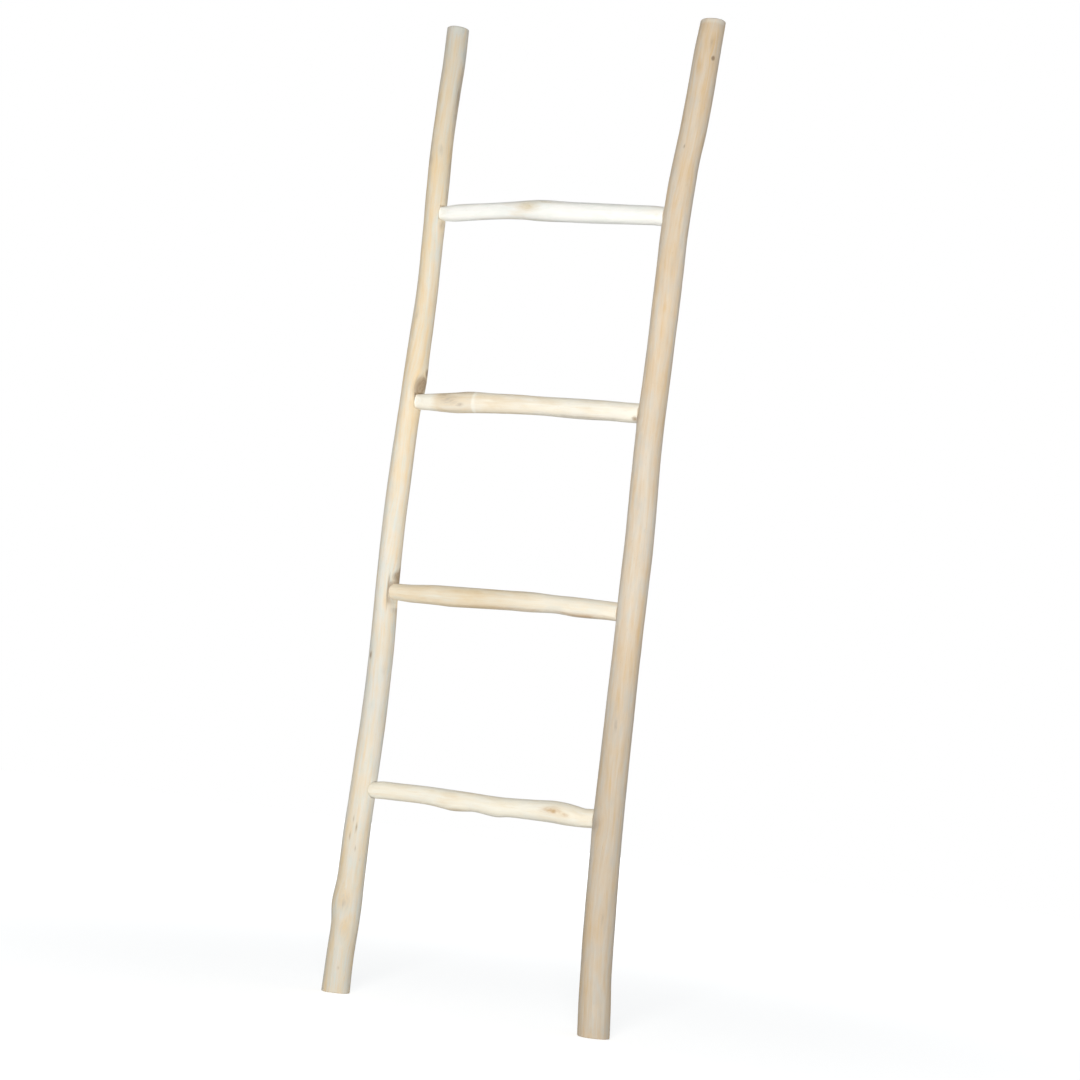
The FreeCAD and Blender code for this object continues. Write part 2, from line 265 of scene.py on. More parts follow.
def node(tree, kind, settings=None, **links):
    """Adds a node. settings are its own properties, or just the name of its operation. links
    are its sockets' values or sources: i0, i1 and so on are its inputs by number, and a
    node stands for its first output."""
    made = tree.nodes.new(kind)
    if isinstance(settings, str):
        settings = {"operation": settings}
    for key, value in (settings or {}).items():
        setattr(made, key, value)
    for key, value in links.items():
        by_number = key[0] == "i" and key[1:].isdigit()
        socket = made.inputs[int(key[1:]) if by_number else key.replace("_", " ")]
        if isinstance(value, bpy.types.Node):
            value = value.outputs[0]
        if isinstance(value, bpy.types.NodeSocket):
            tree.links.new(value, socket)
        else:
            socket.default_value = value
    return made


def linear(hex_colour):
    """Turns an sRGB hex colour into the linear one that a shader takes."""
    channels = np.array([int(hex_colour[i:i + 2], 16) / 255 for i in (1, 3, 5)])
    straight, curved = channels / 12.92, ((channels + 0.055) / 1.055) ** 2.4
    return (*np.where(channels <= 0.04045, straight, curved).tolist(), 1.0)


COLOURS = {"data_type": "RGBA"}
SOFTLY = {"interpolation_type": "SMOOTHSTEP"}


def whitewashed_teak(name, bare, washed, thick_wash, knot_dirt_and_shade, fresh_cut, streak_strength):
    """Peeled teak rubbed with thin white: warm bare fibres show where the wash is thin, and
    the white stays in the hollows. Dry and matt, with a faint silk along the fibres."""
    material = bpy.data.materials.new(name)
    material.use_nodes = True
    tree = material.node_tree
    tree.nodes.clear()
    grain, joint = (
        node(tree, "ShaderNodeAttribute", {"attribute_name": label}).outputs["Vector"]
        for label in ("grain", "joint"))
    wash, shade, knot, cut, sawn = (
        node(tree, "ShaderNodeAttribute", {"attribute_name": label}).outputs["Fac"]
        for label in ("whitewash", "shade", "knot", "cut", "sawn"))

    # Unevenness by its real size: mm wide across the fibres, mm long along them.
    field = {}
    for label, wide, long, detail, roughness in (
        ("rubbed patches", 30, 130, 2.0, 0.5), ("blotches", 9, 30, 2.0, 0.5),
        ("fibre bundles", 3.6, 110, 3.0, 0.55), ("coarse fibres", 0.9, 26, 3.0, 0.6),
        ("open pores", 0.8, 9, 2.0, 0.5), ("ring wander", 22, 90, 2.0, 0.5),
    ):
        scaled = node(tree, "ShaderNodeVectorMath", "MULTIPLY", i0=grain,
                      i1=(1 / wide, 1 / wide, 1 / long))
        field[label] = node(tree, "ShaderNodeTexNoise", {"noise_dimensions": "3D"}, Vector=scaled,
                            Scale=1.0, Detail=detail, Roughness=roughness)

    # Growth rings 2.6 mm apart: circles on a sawn end, long loops on the peeled surface.
    flat = node(tree, "ShaderNodeVectorMath", "MULTIPLY", i0=grain, i1=(1, 1, 0))
    depth = node(tree, "ShaderNodeVectorMath", "LENGTH", i0=flat).outputs["Value"]
    depth = node(tree, "ShaderNodeMath", "MULTIPLY_ADD", i0=field["ring wander"], i1=9.0, i2=depth)
    depth = node(tree, "ShaderNodeMath", "MULTIPLY", i0=depth, i1=2 * math.pi / 2.6)
    rings = node(tree, "ShaderNodeMath", "SINE", i0=depth)

    # Each field is around 0.5, so half of all the weights comes off again.
    weights = (1.1, 0.9, 1.0 * streak_strength)
    fine = 0.5 * streak_strength
    uneven = node(tree, "ShaderNodeCombineXYZ", X=field["rubbed patches"], Y=field["blotches"],
                  Z=field["fibre bundles"])
    uneven = node(tree, "ShaderNodeVectorMath", "DOT_PRODUCT", i0=uneven, i1=weights)
    uneven = uneven.outputs["Value"]
    uneven = node(tree, "ShaderNodeMath", "MULTIPLY_ADD", i0=field["coarse fibres"], i1=fine,
                  i2=uneven)
    uneven = node(tree, "ShaderNodeMath", "MULTIPLY_ADD", i0=rings, i1=0.05, i2=uneven)
    uneven = node(tree, "ShaderNodeMath", "SUBTRACT", i0=uneven, i1=(sum(weights) + fine) / 2)
    thickness = node(tree, "ShaderNodeMath", {"operation": "ADD", "use_clamp": True}, i0=uneven,
                     i1=wash)
    thick_share = node(tree, "ShaderNodeMapRange", SOFTLY, Value=field["blotches"],
                       From_Min=0.42, From_Max=0.66)
    white = node(tree, "ShaderNodeMix", COLOURS, Factor=thick_share, i6=linear(washed),
                 i7=linear(thick_wash))
    peeled = node(tree, "ShaderNodeMix", COLOURS, Factor=thickness, i6=linear(bare),
                  i7=white.outputs[2])
    # The colour is darkened by the wash table's last column, most near a rail's ends. The power
    # turns screen brightness into light.
    shade = node(tree, "ShaderNodeMath", "POWER", i0=shade, i1=2.2)
    peeled = node(tree, "ShaderNodeVectorMath", "SCALE", i0=peeled.outputs[2], Scale=shade)

    # Cut wood is clean and even, with the rings drawn in it.
    clean = node(tree, "ShaderNodeMath", "MULTIPLY_ADD", i0=rings, i1=-0.08, i2=0.80)
    clean = node(tree, "ShaderNodeMath", {"operation": "MULTIPLY_ADD", "use_clamp": True},
                 i0=field["coarse fibres"], i1=0.4, i2=clean)
    cut_wood = node(tree, "ShaderNodeMix", COLOURS, Factor=clean, i6=linear(bare),
                    i7=linear(fresh_cut))
    surface = node(tree, "ShaderNodeMix", COLOURS, Factor=cut, i6=peeled, i7=cut_wood.outputs[2])

    # A knot is darkest at its heart, and thin rings of its own run round it. The same mask lays
    # the marks of painted shade that are listed with the knots.
    knot_rings = node(tree, "ShaderNodeMath", "MULTIPLY", i0=field["fibre bundles"], i1=9.0)
    knot_rings = node(tree, "ShaderNodeMath", "MULTIPLY_ADD", i0=knot, i1=22.0, i2=knot_rings)
    knot_rings = node(tree, "ShaderNodeMath", "SINE", i0=knot_rings)
    knot_rings = node(tree, "ShaderNodeMath", "MULTIPLY_ADD", i0=knot_rings, i1=0.06, i2=0.92)
    knot_edge = node(tree, "ShaderNodeMath", "MULTIPLY_ADD", i0=field["coarse fibres"], i1=0.5,
                     i2=knot)
    knot_and_shade_share = node(tree, "ShaderNodeMapRange", SOFTLY, Value=knot_edge,
                      From_Min=0.29, From_Max=0.87)
    knot_and_shade_share = node(tree, "ShaderNodeMath", {"operation": "MULTIPLY", "use_clamp": True},
                      i0=knot_and_shade_share, i1=knot_rings)
    surface = node(tree, "ShaderNodeMix", COLOURS, Factor=knot_and_shade_share, i6=surface.outputs[2],
                   i7=linear(knot_dirt_and_shade))

    # Open pores a few mm long are dark with grime. Round a mortise's mouth a darker ring is painted
    # shade, where the rung meets the rail.
    pore = node(tree, "ShaderNodeMapRange", SOFTLY, Value=field["open pores"],
                From_Min=0.66, From_Max=0.78, To_Max=0.30)
    from_mouth = node(tree, "ShaderNodeVectorMath", "LENGTH", i0=joint).outputs["Value"]
    seam_painted_shade = node(tree, "ShaderNodeMapRange", SOFTLY, Value=from_mouth,
                From_Min=MORTISE_RADIUS + 0.2, From_Max=MORTISE_RADIUS + 1.8,
                To_Min=0.30, To_Max=0.0)
    pore_dirt_and_seam_shade = node(tree, "ShaderNodeMath", "MAXIMUM", i0=pore, i1=seam_painted_shade)
    surface = node(tree, "ShaderNodeMix", COLOURS, Factor=pore_dirt_and_seam_shade, i6=surface.outputs[2],
                   i7=linear(knot_dirt_and_shade))

    # Saw marks 1.7 mm apart lie straight across the sawn ends.
    across = node(tree, "ShaderNodeVectorMath", "DOT_PRODUCT", i0=grain,
                  i1=(3.2, 1.8, 0)).outputs["Value"]
    across = node(tree, "ShaderNodeMath", "MULTIPLY_ADD", i0=field["blotches"], i1=5.0, i2=across)
    saw = node(tree, "ShaderNodeMath", "SINE", i0=across)
    saw = node(tree, "ShaderNodeMath", "MULTIPLY", i0=saw, i1=sawn)

    # To a fingertip the fibres and saw marks stand out, and the pores lie sunk.
    height = node(tree, "ShaderNodeMath", "MULTIPLY", i0=field["coarse fibres"], i1=0.5)
    height = node(tree, "ShaderNodeMath", "MULTIPLY_ADD", i0=field["fibre bundles"], i1=0.6,
                  i2=height)
    height = node(tree, "ShaderNodeMath", "MULTIPLY_ADD", i0=pore, i1=-1.2, i2=height)
    height = node(tree, "ShaderNodeMath", "MULTIPLY_ADD", i0=saw, i1=0.35, i2=height)
    bump = node(tree, "ShaderNodeBump", Strength=0.55, Distance=0.35 * MM, Height=height)
    roughness = node(tree, "ShaderNodeMath", "MULTIPLY_ADD", i0=field["fibre bundles"], i1=0.18,
                     i2=0.58)
    shader = node(tree, "ShaderNodeBsdfPrincipled", Base_Color=surface.outputs[2],
                  Roughness=roughness, IOR=1.45, Normal=bump)
    node(tree, "ShaderNodeOutputMaterial", Surface=shader)
    return material


def rail_branch(name, line, sections, knots, wash, seed):
    """A rail stands upright: its rings lie level, and its station is its height."""
    def centre_at(height):
        wander = smooth_along(sections, height / RAIL_LENGTH)
        return np.stack([line[0] + wander[..., 0], line[1] + wander[..., 1], height], axis=-1)
    return Branch(name, (1, 0, 0), (0, 1, 0), centre_at, knots, wash, RAIL_LENGTH, seed)


RAIL_FLUTE_DEPTH = 0.5
FLUTES = 3
FLUTE_TWIST = math.radians(70)
END_ROUNDING = 1.2
RAIL_RING_GAP = 2.0
RAIL_END_HEIGHTS = (0.0, 0.3, 0.7, 1.2, 1.8)


def rail_radii(branch, sections, stations, angles, side):
    """Radius of the peeled rail at every station and angle, with its ends eased."""
    plain = smooth_along(sections, stations / RAIL_LENGTH)[:, 2:]
    twist = side * FLUTE_TWIST * stations[:, None] / RAIL_LENGTH
    radii = plain + RAIL_FLUTE_DEPTH * np.cos(FLUTES * angles + twist)
    spread = np.broadcast_to(stations[:, None], radii.shape)
    turned = np.broadcast_to(angles, radii.shape)
    radii = radii + peeled_relief(spread, turned, plain, branch.knots, branch.seed)
    from_end = np.minimum(stations, RAIL_LENGTH - stations)[:, None]
    return radii - END_ROUNDING * np.clip(1 - from_end / END_ROUNDING, 0, 1) ** 1.5


def rail_stations():
    """Heights of a rail's rings, in even steps, and closer where the ends are eased."""
    close = np.array(RAIL_END_HEIGHTS)
    even = np.arange(3, RAIL_LENGTH - 3, RAIL_RING_GAP)
    return np.concatenate([close, even, RAIL_LENGTH - close[::-1]])


def joint_line(name):
    """Both rails' middles at a rung's height, and the direction from left to right."""
    height = np.array([RUNG_HEIGHTS[name]])
    here, there = left_branch.centre_at(height)[0], right_branch.centre_at(height)[0]
    return here, there, (there - here) / np.linalg.norm(there - here)


def mortise_at(name, side):
    """A rail's middle at a rung's height, and the direction that the rung leaves it in. side
    is -1 for the left rail and 1 for the right."""
    here, there, along = joint_line(name)
    return (here, along) if side < 0 else (there, -along)


def way_to_mortise(points, side):
    """How far behind and above the middle line of its nearest mortise each point of a rail is."""
    nearest = np.argmin(np.abs(points[:, 2:] - np.array(list(RUNG_HEIGHTS.values()))), axis=1)
    way = np.full(points.shape, FAR)
    for number, name in enumerate(RUNG_HEIGHTS):
        middle, outward = mortise_at(name, side)
        behind = np.cross((0, 0, 1.0), outward)
        away = points - middle
        inner = (nearest == number) & (away @ outward > 0)
        above = np.cross(outward, behind)
        way[inner] = np.stack([away @ behind, away @ above, 0 * away[:, 0]], axis=-1)[inner]
    return way


# Drying checks: how many, half their width, how deep, and the rail's radius about them (mm).
CHECKS = 6
CHECK_HALF_WIDTH = 0.45
CHECK_DEPTH = 0.9
CHECK_RADIUS = 19.0
END_HOLLOW = 0.25


def sawn_end(shares, angles, seed):
    """Depth of a sawn end, in mm: it dries hollow, and fine checks run out from the pith."""
    rng = np.random.default_rng(seed)
    shares = shares[:, None]
    depth = END_HOLLOW * (1 - shares ** 2) + 0 * angles
    directions = rng.uniform(-math.pi, math.pi, CHECKS)
    reaches = rng.uniform(0.5, 0.95, CHECKS)
    bends = rng.uniform(-0.4, 0.4, CHECKS)
    for direction, reach, bend in zip(directions, reaches, bends):
        gape = np.clip((shares - 0.10) / 0.2, 0, 1) * np.clip((reach - shares) / 0.15, 0, 1)
        off = turn_between(angles, direction + bend * shares) * shares * CHECK_RADIUS
        depth = depth + CHECK_DEPTH * gape * np.exp(-(off / CHECK_HALF_WIDTH) ** 2)
    return depth


def cut_with(piece, points, faces):
    """Cuts a closed cutter shape, given in metres, out of a piece's mesh."""
    cutter_mesh = bpy.data.meshes.new("cutter")
    cutter_mesh.from_pydata(points, [], faces)
    cutter = bpy.data.objects.new("cutter", cutter_mesh)
    bpy.context.scene.collection.objects.link(cutter)
    modifier = piece.modifiers.new("cut", "BOOLEAN")
    modifier.operation, modifier.solver, modifier.object = "DIFFERENCE", "EXACT", cutter
    bpy.context.view_layer.update()
    evaluated = piece.evaluated_get(bpy.context.evaluated_depsgraph_get())
    done = bpy.data.meshes.new_from_object(evaluated)
    piece.modifiers.clear()
    piece.data = done
    done.name = piece.name
    bpy.data.objects.remove(cutter)


def drill(points, faces, start, direction, radius, depth, sides=72):
    """Adds a drill bit, a closed cylinder, to the lists of cutter points and faces (mm)."""
    direction = np.array(direction, float)
    side = np.cross(direction, (0, 0, 1.0))
    side /= np.linalg.norm(side)
    above = np.cross(side, direction)
    first = len(points)
    for step in (0.0, depth):
        for i in range(sides):
            turn = 2 * math.pi * i / sides
            round_by = (side * math.cos(turn) + above * math.sin(turn)) * radius
            points.append(tuple((start + direction * step + round_by) * MM))
    for i in range(sides):
        j = (i + 1) % sides
        faces.append((first + i, first + sides + i, first + sides + j, first + j))
    faces.append(tuple(first + i for i in range(sides)))
    faces.append(tuple(first + sides + i for i in reversed(range(sides))))


def block(x_range, y_range, z_range):
    """Points and faces of a plain block, for cut_with. The ranges are in mm."""
    points = [(x_range[i] * MM, y_range[j] * MM, z_range[k] * MM)
              for j in (0, 1) for i, k in ((0, 0), (1, 0), (1, 1), (0, 1))]
    sides = [(i, i + 4, (i + 1) % 4 + 4, (i + 1) % 4) for i in range(4)]
    return points, [(0, 1, 2, 3), (7, 6, 5, 4)] + sides


NAIL_WIDTH = 1.6
NAIL_THICKNESS = 1.4
NAIL_LENGTH = 28.0
NAIL_SET = 1.0
NAIL_FROM_AXIS = 4.0
NAIL_FIT = 0.03
NAIL_HOLE_PAST_BACK = 4.0


def nail_slot(piece, middle, outward, radius):
    """Cuts the slot that one brad leaves, from the back of the rail towards the front."""
    back = math.sqrt(radius ** 2 - NAIL_FROM_AXIS ** 2) - NAIL_SET
    end = middle + outward * NAIL_FROM_AXIS + np.array((0, back + NAIL_HOLE_PAST_BACK, 0))
    half_width, half_thickness = NAIL_WIDTH / 2 + NAIL_FIT, NAIL_THICKNESS / 2 + NAIL_FIT
    front = end[1] - NAIL_HOLE_PAST_BACK - NAIL_LENGTH - NAIL_FIT
    cut_with(piece, *block((end[0] - half_width, end[0] + half_width), (front, end[1]),
                           (end[2] - half_thickness, end[2] + half_thickness)))


def finish_piece(mesh, material, crease):
    """Smooths a branch's mesh except at cut edges sharper than the crease, and colours it."""
    for face in mesh.polygons:
        face.use_smooth = True
    mesh.set_sharp_from_angle(angle=crease)
    mesh.materials.clear()
    mesh.materials.append(material)


RAIL_SIDES = 112
RAIL_END_RINGS = 14
RAIL_CREASE = math.radians(38)


def make_rail(branch, sections, side, material, seats):
    """Lofts a rail, drills its mortises and nail slots, cuts its seats, and finishes it."""
    angles = np.linspace(-math.pi, math.pi, RAIL_SIDES, endpoint=False)
    stations = rail_stations()
    radii = rail_radii(branch, sections, stations, angles, side)
    mesh = branch.mesh(stations, radii, angles, RAIL_END_RINGS, sawn_end)
    piece = bpy.data.objects.new(branch.name + "_wood", mesh)
    bpy.context.scene.collection.objects.link(piece)
    joints = {}
    for name, height in RUNG_HEIGHTS.items():
        radius = float(smooth_along(sections, height / RAIL_LENGTH)[2])
        joints[name] = (*mortise_at(name, side), radius)
    points, faces = [], []
    for middle, outward, radius in joints.values():
        drill(points, faces, middle - outward * MORTISE_PAST_AXIS, outward, MORTISE_RADIUS,
              MORTISE_PAST_AXIS + 2 * radius)
    cut_with(piece, points, faces)
    for name, (seat, half_height, form) in seats.items():
        middle, outward, radius = joints[name]
        points, faces = [], []
        if form == "scoop":
            # Across the mouth of the mortise, turned a little to the front.
            facing = np.array((math.cos(SCAR_TURN), math.sin(SCAR_TURN), 0))
            level = np.array((-facing[1], facing[0], 0))
            sweep = middle + facing * (seat + SCAR_SWEEP_RADIUS)
            drill(points, faces, sweep - level * 2 * radius, level, SCAR_SWEEP_RADIUS,
                  4 * radius, sides=360)
        elif form == "bore":
            drill(points, faces, middle + outward * seat, outward, half_height, 2 * radius)
        else:
            points, faces = block((middle[0] + seat, middle[0] + 2 * radius),
                                  (-2 * radius, 2 * radius),
                                  (middle[2] - half_height, middle[2] + half_height))
        cut_with(piece, points, faces)
    for middle, outward, radius in joints.values():
        nail_slot(piece, middle, outward, radius)

    def plain_radius_at(height):
        return smooth_along(sections, np.clip(height, 0, RAIL_LENGTH) / RAIL_LENGTH)[:, 2]

    branch.mark(piece.data, plain_radius_at, lambda points: way_to_mortise(points, side))
    finish_piece(piece.data, material, RAIL_CREASE)
    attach(piece, "root")
    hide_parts(branch.name)


# Where a rail is cut back to seat a rung: how far out from its middle line, half the height
# of the cut (mm), and its form. The scoop is an old branch scar, left as it was.
LEFT_SEATS = {"rung_1": (12.0, 11.6, "notch"), "rung_2": (11.6, 12.3, "notch"),
              "rung_3": (13.2, 31.0, "scoop"), "rung_4": (14.5, 13.1, "bore")}
RIGHT_SEATS = {"rung_1": (17.6, 15.7, "bore"), "rung_2": (17.7, 16.0, "bore"),
               "rung_3": (18.4, 15.2, "bore"), "rung_4": (19.4, 15.2, "bore")}
SCAR_RUNG = "rung_3"
SCAR_DEPTH = 3.2
SCAR_TURN = math.radians(-18)
SCAR_SWEEP_RADIUS = 108.0

left_branch = rail_branch("left_rail", LEFT_RAIL_LINE, LEFT_RAIL_SECTIONS, LEFT_RAIL_KNOTS_AND_SHADE,
                          LEFT_RAIL_WASH, seed=11)

# ======================================================================================
# RIGHT RAIL
# The thicker teak branch of the pair, 37 to 47 mm, crooked near its top. Less wash took on
# it, so it is a shade browner. The rungs' full ends sink into round seats bored in it.
# ======================================================================================
RIGHT_RAIL_LINE = (197.309, 0.987)
RIGHT_RAIL_SECTIONS = [
    (0.000, 15.9, -2.5, 23.4), (0.030, 11.9, -2.1, 23.5), (0.057, 8.5, -1.6, 22.8),
    (0.100, 4.9, -1.0, 22.9), (0.145, 2.0, -0.4, 22.3), (0.200, -0.8, 0.4, 22.1),
    (0.260, -2.0, 1.0, 21.6), (0.325, -3.1, 1.5, 21.0), (0.390, -3.5, 2.0, 20.8),
    (0.425, -3.8, 2.1, 21.4), (0.490, -4.4, 2.4, 21.2), (0.555, -7.1, 2.6, 20.3),
    (0.590, -7.6, 2.5, 20.4), (0.660, -5.9, 2.0, 20.1), (0.723, -4.8, 1.2, 20.5),
    (0.785, -4.2, 0.2, 20.2), (0.825, -1.3, -0.6, 20.3), (0.857, 2.4, -1.4, 19.6),
    (0.890, 8.0, -2.2, 19.9), (0.930, 12.8, -3.0, 19.9), (0.970, 16.7, -3.7, 19.5),
    (1.000, 20.8, -4.2, 18.6),
]
RIGHT_RAIL_KNOTS = [
    (1440, -38, 3.6, 3.2, 0.3, 1.0),
    (1464, -54, 15, 5, 0.2, 0.30),
    (1424, -92, 18, 6, 0.1, 0.22),
    (1305, -92, 4, 1.8, 0.1, 0.50),
    (1276, -114, 22, 6, 0.0, 0.22),
    (1120, -60, 40, 5, 0.0, 0.18),
    (900, -140, 9, 7, 0.8, 0.34),
    (770, -84, 34, 6, 0.1, 0.18),
    (446, -78, 36, 7, 0.1, 0.22),
    (300, -118, 18, 12, 0.5, 0.30),
    (170, -56, 30, 6, 0.1, 0.20),
    (560, 60, 14, 9, 0.8, 0.7),
    (230, 130, 10, 7, 0.5, 0.6),
]
RIGHT_RAIL_WASH = [
    (0.000, 0.58, 0.868), (0.026, 0.57, 0.878), (0.129, 0.69, 0.868), (0.220, 0.64, 0.868),
    (0.313, 0.70, 0.878), (0.360, 0.66, 0.907), (0.406, 0.68, 0.926), (0.500, 0.72, 0.926),
    (0.596, 0.62, 0.917), (0.692, 0.58, 0.936), (0.789, 0.66, 0.907), (0.887, 0.60, 0.897),
    (0.950, 0.58, 0.888), (0.985, 0.55, 0.878), (0.9945, 0.54, 0.868), (0.9965, 0.95, 0.888),
    (1.000, 0.95, 0.878),
]
right_branch = rail_branch("right_rail", RIGHT_RAIL_LINE, RIGHT_RAIL_SECTIONS, RIGHT_RAIL_KNOTS,
                           RIGHT_RAIL_WASH, seed=23)

# Both rails are made here, because a mortise needs the lines of both. Their colours are bare
# wood, washed, thickly washed, the heart of a knot, which also colours grime in the pores and the
# painted shade, and freshly cut.
LEFT_RAIL_TONES = ("#f0d6aa", "#efeade", "#e8e7dc", "#a38d72", "#e2d8c8")
RIGHT_RAIL_TONES = ("#e4c496", "#ebe0cf", "#e3dacb", "#8e7860", "#ddd0be")
RAIL_STREAKS = 1.4
left_teak = whitewashed_teak("left_rail_whitewashed_teak", *LEFT_RAIL_TONES, RAIL_STREAKS)
right_teak = whitewashed_teak("right_rail_whitewashed_teak", *RIGHT_RAIL_TONES, RAIL_STREAKS)
make_rail(left_branch, LEFT_RAIL_SECTIONS, -1, left_teak, LEFT_SEATS)
make_rail(right_branch, RIGHT_RAIL_SECTIONS, 1, right_teak, RIGHT_SEATS)

# ======================================================================================
# FOUR RUNGS
# Lengths of thinner teak branch, 26 to 33 mm, with a 20 mm round tenon turned on each end
# and glued into its mortise. The left ends are whittled down with a knife to fit their
# seats, and the right ends keep their full thickness.
# ======================================================================================
# Sizes in mm. The wander of a rung fades out over the tapers, and each end stops short of
# its seat by SEAT_GAP. No seat comes nearer to the rail's middle line than SEATS_FROM.
RUNG_FLUTE_DEPTH = 0.35
SHOULDER_GAP = 1.0
TENON_END_GAP = 0.6
TAPER_LENGTH = 15.0
LONG_TAPER_LENGTH = 24.0
SEAT_GAP = 0.15
SEATS_FROM = 8.0
SEAT_RING_GAP, TAPER_RING_GAP, BODY_RING_GAP = 0.25, 0.7, 1.5
RUNG_SIDES = 88
RUNG_END_RINGS = 5
RUNG_CREASE = math.radians(60)
RUNG_RELIEF = 0.8
# Share of a whittled taper's length, and how much of its swell the rung has there.
TAPER_PROFILE = [(0.00, 0.03), (0.40, 0.46), (1.00, 1.00)]

# Share of the body between the tapers, wander backwards, wander upwards, radius (mm).
RUNG_BODIES = {
    "rung_1": [
        (0.000, 0.0, 0.8, 13.3), (0.200, -1.0, 4.5, 12.8), (0.345, -1.8, 6.2, 14.0),
        (0.447, -2.2, 6.0, 16.1), (0.595, -1.8, 4.2, 15.5), (0.740, -1.0, 3.1, 15.4),
        (0.880, -0.4, 2.0, 14.7), (1.000, 0.0, 1.4, 14.4),
    ],
    "rung_2": [
        (0.000, 0.0, 0.3, 13.1), (0.130, 0.5, 1.4, 15.9), (0.205, 0.8, 3.1, 16.4),
        (0.330, 1.4, 3.6, 15.2), (0.455, 1.8, 3.8, 14.8), (0.575, 1.6, 3.4, 14.3),
        (0.700, 1.2, 2.4, 15.1), (0.800, 0.8, 1.8, 15.3), (0.890, 0.4, 1.5, 14.9),
        (1.000, 0.0, 0.2, 14.7),
    ],
    "rung_3": [
        (0.000, 0.0, -0.8, 13.8), (0.140, -0.6, 0.4, 14.9), (0.220, -1.0, 0.3, 15.5),
        (0.355, -1.6, 1.2, 15.2), (0.515, -2.0, 2.2, 14.7), (0.620, -1.8, 2.6, 15.1),
        (0.750, -1.2, 2.8, 13.6), (0.850, -0.6, 1.5, 14.7), (1.000, 0.0, 0.7, 13.8),
    ],
    "rung_4": [
        (0.000, 0.0, 1.3, 13.3), (0.215, 0.9, 1.9, 13.4), (0.360, 1.5, -0.2, 15.1),
        (0.465, 1.8, 0.6, 13.7), (0.573, 1.8, -1.5, 15.0), (0.640, 1.5, -0.1, 14.2),
        (0.746, 1.0, 0.9, 15.0), (0.850, 0.5, 2.0, 16.2), (0.920, 0.2, 0.9, 16.1),
        (1.000, 0.0, -1.0, 13.8),
    ],
}
# How each rung's left end is whittled (mm): how far, the thickness at its end, and the
# thickness that the cut runs out to. The right ends keep their full thickness.
WHITTLED = {
    "rung_1": (22.0, 11.0, 13.2), "rung_2": (58.0, 11.7, 15.4),
    "rung_3": (24.0, 12.7, 13.8), "rung_4": (9.0, 11.9, 13.3),
}
# Two rungs have a broad flat on the front of the left end, so far from the middle line (mm).
FRONT_FLAT = {"rung_1": 8.0, "rung_2": 8.5}
FLAT_RISE = 0.25
# Knots and a few marks of painted shade: place along the rung from the left rail's middle,
# angle round it (0 to the back, 90 upwards, 180 to the front), half length, half width, height,
# how dark.
RUNG_KNOTS_AND_SHADE = {
    "rung_1": [
        (169, 166, 22, 11, 0.4, 0.40), (196, 134, 26, 5, 0.2, 0.30), (380, 188, 9, 7, 0.1, 0.18),
    ],
    "rung_2": [
        (72, 172, 22, 10, 0.2, 0.36), (62, 136, 14, 5, 0.1, 0.36), (92, 200, 9, 5, 0.1, 0.34),
        # The spot at 380 is a painted shadow in the gap under the right end, and the long mark at
        # 290 is painted shade along the underside.
        (96, 122, 22, 6, 0.0, 0.38), (380, 224, 6, 6, -0.3, 0.72), (290, 238, 110, 6, 0.0, 0.32),
    ],
    "rung_3": [
        # The long marks at 210 and 330 are painted shade along the underside.
        (250, 20, 10, 6, 0.6, 0.60), (210, 236, 130, 6, 0.0, 0.34), (330, 238, 70, 7, 0.0, 0.46),
    ],
    "rung_4": [
        (164, 250, 12, 8, 0.9, 0.26), (322, 170, 22, 7, 0.4, 0.46), (326, 172, 8, 4, 0.3, 0.60),
        (344, 182, 10, 4, 0.2, 0.36),
    ],
}
# Share of the rung, thickness of the whitewash, and the factor that darkens the colour there.
RUNG_WASH = {
    "rung_1": [
        (0.0, 1.20, 1.0), (0.25, 1.10, 1.0), (0.36, 0.84, 0.98), (0.45, 0.90, 0.99),
        (0.55, 1.10, 1.0), (1.0, 1.10, 1.0),
    ],
    "rung_2": [
        (0.0, 1.40, 1.0), (0.09, 1.25, 1.0), (0.13, 0.52, 0.99), (0.272, 0.50, 0.99),
        (0.280, 0.94, 1.0), (0.284, 0.94, 1.0), (0.294, 0.66, 1.0), (0.50, 0.72, 1.0),
        (0.75, 0.80, 0.99), (0.90, 1.10, 1.0), (1.0, 1.30, 1.0),
    ],
    "rung_3": [
        (0.0, 0.62, 1.0), (0.15, 0.54, 0.99), (0.40, 0.48, 0.98), (0.60, 0.66, 0.98),
        (0.72, 0.88, 0.98), (0.85, 0.95, 0.99), (1.0, 1.10, 1.0),
    ],
    "rung_4": [
        (0.0, 0.95, 1.0), (0.15, 0.86, 1.0), (0.35, 0.86, 1.0), (0.50, 0.88, 1.0),
        (0.75, 0.82, 1.0), (0.85, 0.86, 1.0), (1.0, 0.90, 1.0),
    ],
}


def rung_taper_radius(from_shoulder, length, first_radius, end_radius):
    """Radius of the whittled taper at a distance from the rung's shoulder."""
    places, parts = np.array(TAPER_PROFILE).T
    swell = np.interp(from_shoulder / length, places, parts)
    return first_radius + (end_radius - first_radius) * swell


# Rows of knife cuts: share of the taper and how many go round it. A lower crispness leaves
# the edges between the cuts sanded rounder.
KNIFE_CUTS = [(0.08, 9), (0.36, 10), (0.78, 11)]
CUT_CRISPNESS = 5.0
CUT_DEPTH = 0.25
CUT_HALF_LENGTH = 0.8


